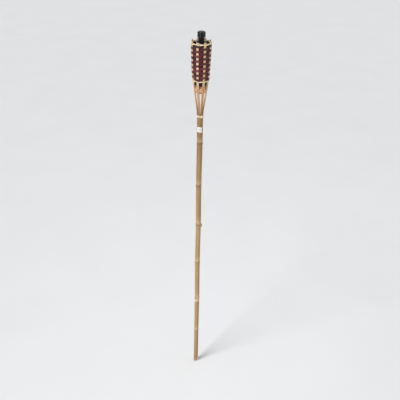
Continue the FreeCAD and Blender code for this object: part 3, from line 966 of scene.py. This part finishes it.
def neck_tie(finish):
    """Flat cane wound round the split, with its end brought down over the turns and tucked."""
    turns, pitch, per_turn = 2.15, 3.1 * MM, 64
    half, thick = 1.55 * MM, 1.4 * MM
    low = TIE_LOW.z - 0.6 * MM + half
    lower = [(0, -half + 0.4 * MM), (0.3 * MM, -half), (thick * 0.7, -half + 0.15 * MM),
             (thick, -half * 0.55)]
    section = lower + [(thick * 1.06, 0)] + mirrored(lower)
    bm = bmesh.new()
    verts, edges = chain(bm, [Vector((CULM_TOP + out, 0, low + up)) for out, up in section], closed=True)
    bmesh.ops.spin(bm, geom=verts + edges, cent=(0, 0, 0), axis=UP, angle=TURN * turns,
                   steps=int(per_turn * turns), dvec=(0, 0, pitch / per_turn))
    bmesh.ops.holes_fill(bm, edges=bm.edges, sides=0)
    bmesh.ops.rotate(bm, cent=(0, 0, 0), matrix=Matrix.Rotation(TIE_SIDE, 3, "Z"), verts=bm.verts)
    for vert in bm.verts:
        out = (reach(vert.co) - CULM_TOP) * (1 + 0.08 * round_wobble(bearing(vert.co), 3, 71))
        set_reach(vert, root_radius(vert.co.z) + 0.12 * MM + out)

    def strap(share):
        """The tucked end: out from under the lower turn, up over both, and back in above."""
        height = TIE_LOW.z - 1.0 * MM + (TIE_HIGH.z - TIE_LOW.z + 0.6 * MM) * share
        bulge = sin(pi * min(max(share, 0.0), 1.0)) ** 0.45
        radius = root_radius(height) + (thick + 0.75 * MM) * bulge
        turn = Matrix.Rotation(TIE_SIDE + radians(16) * (share - 0.5), 3, "Z")
        section = ((-0.5, -1.7), (-0.5, 1.7), (0.1, 2.0), (0.65, 1.3), (0.8, 0), (0.65, -1.3), (0.1, -2.0))
        return [turn @ Vector((radius + out * MM, across * MM * (0.75 + 0.25 * bulge), height))
                for out, across in section]

    swept(strap, steps_between(0, 1, 0.05), bm)
    bmesh.ops.recalc_face_normals(bm, faces=bm.faces)
    obj = piece("wound_tie", bm, finish, "torch", "pale_cane", "neck_tie")
    wrap_uv(obj, CULM_TOP, pi)
    # the strap that stands out over the turns is painted darker
    mark(obj, "darker_strap", lambda co: 1.0 if reach(co) - root_radius(co.z) > thick + 0.28 * MM else 0.0)


def spreader(finish):
    """Turned bun with a soft belly, a flat top that the can stands on and two fine tool lines."""
    middle = (PLUG_LOW.z + PLUG_HIGH.z) / 2
    half = (PLUG_HIGH.z - PLUG_LOW.z) / 2
    wide = (PLUG_HIGH.x - PLUG_LOW.x) / 2
    belly = 13 * MM
    swell = (half ** 2 + belly ** 2) / (2 * belly)
    outline = [(0, middle - half), (wide - belly - 1.2 * MM, middle - half)]
    for height in steps_between(-half * 0.985, half * 0.985, 1.3 * MM):
        line = 0.28 * MM * (hump(height - 5 * MM, 0.7 * MM) + hump(height + 5 * MM, 0.7 * MM))
        outline.append((wide - swell + sqrt(swell ** 2 - height ** 2) - line, middle + height))
    outline += [(wide - belly - 1.2 * MM, middle + half), (0, middle + half)]
    piece("turned_spreader", turned(outline, 72), finish, "torch", "plug_wood", "spreader_plug")


# ---- sticker ----
def sticker(finish):
    """Paper patch wrapped on the culm a little askew, with one corner lifting."""
    centre = (LABEL_LOW.z + LABEL_HIGH.z) / 2
    bm = bmesh.new()
    bmesh.ops.create_grid(bm, x_segments=24, y_segments=24, size=LABEL_SIZE / 2)
    flat = bm.loops.layers.uv.new("flat")
    for face in bm.faces:
        for loop in face.loops:
            loop[flat].uv = (loop.vert.co.x / LABEL_SIZE + 0.5, loop.vert.co.y / LABEL_SIZE + 0.5)
    tilt = Matrix.Rotation(radians(-8), 3, "Z")
    for vert in bm.verts:
        across, up = vert.co.x, vert.co.y
        lift = 0.7 * MM * ease(across / LABEL_SIZE - up / LABEL_SIZE, 0.62, 1.0)
        crease = 0.05 * MM * wobble((across, up, 0), 260, 4)
        spot = tilt @ Vector((across, up, 0))
        height = centre + spot.y
        radius = culm_radius(height) + 0.16 * MM + lift + crease
        angle = LABEL_SIDE + spot.x / culm_radius(height)
        vert.co = Vector((radius * cos(angle), radius * sin(angle), height))
    made = bmesh.ops.extrude_face_region(bm, geom=bm.faces[:])["geom"]
    for vert in verts_of(made):
        set_reach(vert, reach(vert.co) + 0.10 * MM)
    bmesh.ops.recalc_face_normals(bm, faces=bm.faces)
    obj = piece("paper_sticker", bm, finish, "torch", "label_paper", "label")

    def rim(co):
        angle = turn_off(bearing(co), LABEL_SIDE)
        spot = tilt.inverted() @ Vector((angle * culm_radius(co.z), co.z - centre, 0))
        return ease(max(abs(spot.x), abs(spot.y)) / (LABEL_SIZE / 2), 0.9, 1.0)

    mark(obj, "edge", rim)


# ---- fuel can ----
def can_radius(height):
    """Outer radius of the tapered wall, from the frame's own can."""
    low, high = BASE_HIGH.x - TIN, WALL_HIGH.x
    share = (height - BASE_HIGH.z) / (WALL_HIGH.z - BASE_HIGH.z)
    return low + (high - low) * share


def can_wall(finish):
    """Rolled sheet with a folded seam up its side and two shallow swaged beads."""
    beads = [WALL_LOW.z + 24 * MM, WALL_HIGH.z - 22 * MM]

    def outer(height):
        return can_radius(height) + sum(0.35 * MM * hump(height - bead, 1.5 * MM) for bead in beads)

    heights = steps_between(WALL_LOW.z, WALL_HIGH.z, 1.6 * MM)
    outline = [(outer(height), height) for height in heights]
    outline += [(outer(height) - TIN, height) for height in heights[::-1]]
    bm = turned(outline, 96, closed=True)
    for vert in bm.verts:
        off = abs(turn_off(bearing(vert.co), CAN_SEAM_SIDE)) * reach(vert.co)
        fold = 0.30 * MM * (1 - ease(off, 1.6 * MM, 2.6 * MM))
        dent = 0.16 * MM * wobble(vert.co, 38, 9)
        free = between(vert.co.z, WALL_LOW.z + 5 * MM, WALL_HIGH.z - 5 * MM, 4 * MM, 4 * MM)
        set_reach(vert, reach(vert.co) + (fold + dent) * free)
    obj = piece("can_wall", bm, finish, "can", "black_tin", "can_body")
    mark(obj, "edge", lambda co: 0.0)


def can_floor(finish):
    """Flat disc, rolled round the wall's lower end."""
    low, high, edge = BASE_LOW.z, BASE_HIGH.z, BASE_HIGH.x
    wall = can_radius(high)
    outline = [(0, low), (edge - 2.6 * MM, low)]
    outline += corner(edge - 0.7 * MM, low + 0.7 * MM, 0.7 * MM, -90, 0)
    outline += corner(edge - 0.5 * MM, high - 0.5 * MM, 0.5 * MM, 0, 90)
    outline += [(wall, high), (wall - 0.1 * MM, low + TIN), (0, low + TIN)]
    obj = piece("can_floor", turned(outline, 96), finish, "can", "black_tin", "can_base")
    worn_rim(obj, 0.6, edge, 0.35 * MM)


def can_top(finish):
    """Pressed lid: rolled rim, a sunk ring, a domed shoulder and a threaded neck."""
    rim, rim_low, rim_high = LID_HIGH.x, LID_LOW.z, WALL_HIGH.z + TIN
    base, seat = GASKET_LOW.z, NECK + 1.5 * MM
    start = (rim - 4.4 * MM, rim_high + 0.2 * MM)

    def dome(spacing):
        """From the sunk ring up to the neck's seat."""
        for share in steps_between(0.0, 1.0, spacing):
            yield (start[0] + (seat - start[0]) * share,
                   start[1] + (base - start[1]) * sin(share * pi / 2) ** 0.92)

    outline = [(rim - 0.55 * MM, rim_low)] + corner(rim - 0.6 * MM, rim_low + 0.6 * MM, 0.6 * MM, -60, 0, 3)
    outline += corner(rim - 0.9 * MM, rim_high + 0.2 * MM, 0.9 * MM, 0, 165, 7)
    outline += near(rim, rim_high, (-2.3, -0.6), (-3.4, -0.7)) + list(dome(0.06))
    outline += straight(NECK, base, base + 12 * MM, 0.3 * MM)
    outline += near(NECK, base, (-0.25, 12), (-0.6, 11.8), (-0.6, -1))
    outline += [(radius - 0.4 * MM, height - TIN) for radius, height in list(dome(0.12))[::-1]]
    outline += near(rim, rim_high, (-3.5, -1.3), (-2.2, -1.2), (-0.65, -0.4))
    bm = turned(outline, 96, closed=True)
    for vert in bm.verts:
        height = vert.co.z
        if height > base + 0.8 * MM and abs(reach(vert.co) - NECK) < 0.02 * MM:
            turn = bearing(vert.co) / TURN - (height - base) / THREAD_PITCH
            crest = 0.5 + 0.5 * cos(turn * TURN)
            runout = between(height, base + 0.8 * MM, base + 11.5 * MM, 1.4 * MM, 1.5 * MM)
            set_reach(vert, NECK - THREAD_DEPTH * (1 - ease(crest, 0.35, 0.8)) * runout)
    obj = piece("can_top", bm, finish, "can", "black_tin", "can_lid")
    worn_rim(obj, 0.7, rim, 0.5 * MM)


# ---- wick holder and snuffer ----
def seal(finish):
    """Flat ring with softly rounded outer edges."""
    low, high, edge = GASKET_LOW.z, GASKET_HIGH.z, GASKET_HIGH.x - 0.35 * MM
    outline = corner(edge, low + 0.35 * MM, 0.35 * MM, -90, 0)
    outline += corner(edge, high - 0.35 * MM, 0.35 * MM, 0, 90) + [(NECK_HOLE, high), (NECK_HOLE, low)]
    piece("neck_seal", turned(outline, 64, closed=True), finish, "gasket", "gasket_rubber", "gasket")


def screw_collar(finish):
    """Screwed skirt with grip ribs, under a flange with a rolled edge."""
    low, high, flange = COLLAR_LOW.z, COLLAR_HIGH.z, COLLAR_HIGH.x
    plate, hole = high - 1.0 * MM, TUBE_HIGH.x
    ribs_low, ribs_high = low + 1.3 * MM, plate - 1.6 * MM
    outline = [(NECK_HOLE, low), (SKIRT - 0.5 * MM, low)]
    outline += corner(SKIRT - 0.35 * MM, low + 0.5 * MM, 0.45 * MM, -70, 60, 4)
    outline += straight(SKIRT, ribs_low, ribs_high, 0.7 * MM) + near(SKIRT, plate, (-0.1, -1.0))
    outline += corner(SKIRT + 0.9 * MM, plate - 0.9 * MM, 0.9 * MM, 180, 90, 4)
    outline += corner(flange - 0.5 * MM, high - 0.5 * MM, 0.5 * MM, -90, 90, 8)
    outline += [(flange - 1.6 * MM, high)] + near(hole, high, (1.6, 0), (0.4, 0.25), (0, 0.2))
    outline += [(hole, plate), (NECK_HOLE, plate)]
    bm = turned(outline, 288, closed=True)
    for vert in bm.verts:
        if reach(vert.co) > SKIRT - 0.15 * MM and vert.co.z < plate - 1.2 * MM:
            on_skirt = between(vert.co.z, ribs_low - 0.1 * MM, ribs_high + 0.1 * MM, 0.9 * MM, 0.9 * MM)
            rib = ease(0.5 + 0.5 * cos(SKIRT_RIBS * bearing(vert.co)), 0.15, 0.75)
            set_reach(vert, reach(vert.co) - 0.38 * MM * on_skirt * (1 - rib))
    obj = piece("screw_collar", bm, finish, "wick_holder", "black_metal", "collar")
    worn_rim(obj, 0.6, flange, 0.25 * MM)


def burner_tube(finish):
    """Plain tube with a rounded lip."""
    low, high, outer = TUBE_LOW.z, TUBE_HIGH.z, TUBE_HIGH.x
    inner = outer - 0.65 * MM
    outline = [(inner, low), (outer - 0.15 * MM, low), (outer, low + 0.2 * MM)]
    outline += straight(outer, low + 1 * MM, high - 1.2 * MM, 2 * MM)
    outline += corner(outer - 0.3 * MM, high - 0.3 * MM, 0.3 * MM, 0, 180, 6) + [(inner, high - 0.8 * MM)]
    piece("burner_tube", turned(outline, 64, closed=True), finish, "wick_holder", "tube_metal", "wick_tube")


def braided_wick(finish):
    """Round braid: two sets of yarns that cross and pass over and under each other."""
    radius, top = WICK_HIGH.x, WICK_HIGH.z
    outline = [(0, WICK_LOW.z)] + straight(radius, WICK_LOW.z, top - 0.6 * MM, 0.75 * MM)
    outline += [(radius * 0.86, top), (radius * 0.45, top - 0.1 * MM), (0, top - 0.3 * MM)]
    bm = turned(outline, 72)
    for vert in bm.verts:
        if reach(vert.co) >= radius * 0.95:
            angle, height = bearing(vert.co), vert.co.z
            right = YARNS * angle + YARN_CLIMB * height * 2
            left = YARNS * angle - YARN_CLIMB * height * 2
            over = sin(right / 2) * sin(left / 2) > 0
            ridge = abs(cos(right if over else left)) ** 0.7
            set_reach(vert, radius - YARN_DEPTH * (1 - ridge))
    obj = piece("braided_wick", bm, finish, "wick", "wick_braid", "wick")

    # Painted shade in the hollows between the yarns, and a faint even grey over the top.
    def hollow(co):
        sunk = 1 - ease(reach(co), radius - YARN_DEPTH, radius - 0.1 * MM)
        return sunk if co.z < top - 0.7 * MM else 0.2

    mark(obj, "hollow", hollow)


def snuffer_cap(finish):
    """Pressed cap: a bead at its mouth, straight wall, rounded shoulder and a ring pressed in its top."""
    low, high, wide = SNUFFER_LOW.z, SNUFFER_HIGH.z, SNUFFER_HIGH.x
    outer, inner = wide - 0.30 * MM, wide - CAP_WALL - 0.3 * MM
    outline = [(wide - CAP_WALL, low)] + corner(wide - 0.55 * MM, low + 0.55 * MM, 0.55 * MM, -90, 60, 5)
    outline += near(wide, low, (-0.35, 1.5))
    outline += straight(outer, low + 3 * MM, high - CAP_SHOULDER - 0.5 * MM, 2.5 * MM)
    outline += corner(outer - CAP_SHOULDER, high - CAP_SHOULDER, CAP_SHOULDER, 0, 90, 9)
    outline += near(0, high, (8.6, 0), (8.0, -0.15), (7.5, -0.55), (6.9, -0.6), (6.4, -0.3), (5, -0.12))
    outline += near(0, high, (0, -0.1))
    outline += near(0, high - CAP_WALL, (0, 0), (6.9, -0.5), (8, -0.3))
    outline += corner(inner - 1.7 * MM, high - CAP_WALL - 1.7 * MM, 1.7 * MM, 90, 0, 6)
    outline += [(inner, low + 1.5 * MM), outline[0]]
    obj = piece("snuffer_cap", turned(outline, 96), finish, "snuffer", "black_metal", "snuffer")
    worn_rim(obj, 0.6, wide, 0.2 * MM)


# ---- stage, light and camera ----
def stage():
    bm = bmesh.new()
    bmesh.ops.create_grid(bm, x_segments=1, y_segments=1, size=FLOOR_SIZE)
    mesh = bpy.data.meshes.new("floor")
    bm.to_mesh(mesh)
    bm.free()
    mesh.materials.append(floor_paint())
    in_scene("floor", mesh)


def facing(way):
    return Vector(way).to_track_quat("-Z", "Y").to_euler()


def soft_box(name, place, aim, size, watts):
    data = bpy.data.lights.new(name, "AREA")
    data.shape = "RECTANGLE"
    data.size, data.size_y = size
    data.energy = watts
    light = in_scene(name, data)
    light.visible_camera = False
    light.location = place
    light.rotation_euler = facing(Vector(aim) - Vector(place))


def lights():
    world = bpy.data.worlds.new("studio")
    world.use_nodes = True
    nodes, links = world.node_tree.nodes, world.node_tree.links
    sky = nodes["Background"]
    sky.inputs["Color"].default_value = SKY_COLOUR
    height = nodes.new("ShaderNodeSeparateXYZ")
    links.new(nodes.new("ShaderNodeTexCoord").outputs["Generated"], height.inputs[0])
    fall = nodes.new("ShaderNodeMapRange")
    fall.interpolation_type = "SMOOTHSTEP"
    for socket, value in zip(fall.inputs[1:5], SKY_FALL):
        socket.default_value = value
    links.new(height.outputs[2], fall.inputs[0])
    links.new(fall.outputs[0], sky.inputs["Strength"])
    bpy.context.scene.world = world
    bpy.context.scene.view_settings.view_transform = "Standard"
    data = bpy.data.lights.new("key", "SUN")
    data.energy = SUN_POWER
    data.angle = SUN_WIDTH
    data.color = SUN_COLOUR
    in_scene("key", data).rotation_euler = facing(SUN_WAY)
    for box in SOFT_BOXES:
        soft_box(*box)


def camera():
    data = bpy.data.cameras.new("view")
    data.sensor_width = 36
    data.lens = LENS
    data.clip_start = 0.01
    view = in_scene("view", data)
    turn = Matrix.Rotation(radians(90) - CAMERA_TILT, 4, "X") @ Matrix.Rotation(CAMERA_ROLL, 4, "Z")
    view.matrix_world = Matrix.Translation(CAMERA_PLACE) @ turn
    bpy.context.scene.camera = view


camera()
lights()
stage()
bamboo_pole()
split = strip_skin()
strips(split)
splint = dyed_splint()
for row in range(WEFTS):
    weft(row, splint)
cane = pale_cane()
for ring_name, ring_height in (("lower", LOWER_RING), ("upper", UPPER_RING)):
    for letter, side in (("a", 1), ("b", -1)):
        twined_cane(f"{ring_name}_twine_{letter}", ring_height, side, cane, f"{ring_name}_cane_{letter}")
neck_tie(cane)
spreader(turned_wood())
sticker(sticker_paper())
tin_paint = black_gloss("black_tin", 0.25)
can_wall(tin_paint)
can_floor(tin_paint)
can_top(tin_paint)
seal(seal_rubber())
cap_paint = black_gloss("black_enamel", 0.12)
screw_collar(cap_paint)
burner_tube(plated_steel())
braided_wick(glass_braid())
snuffer_cap(cap_paint)
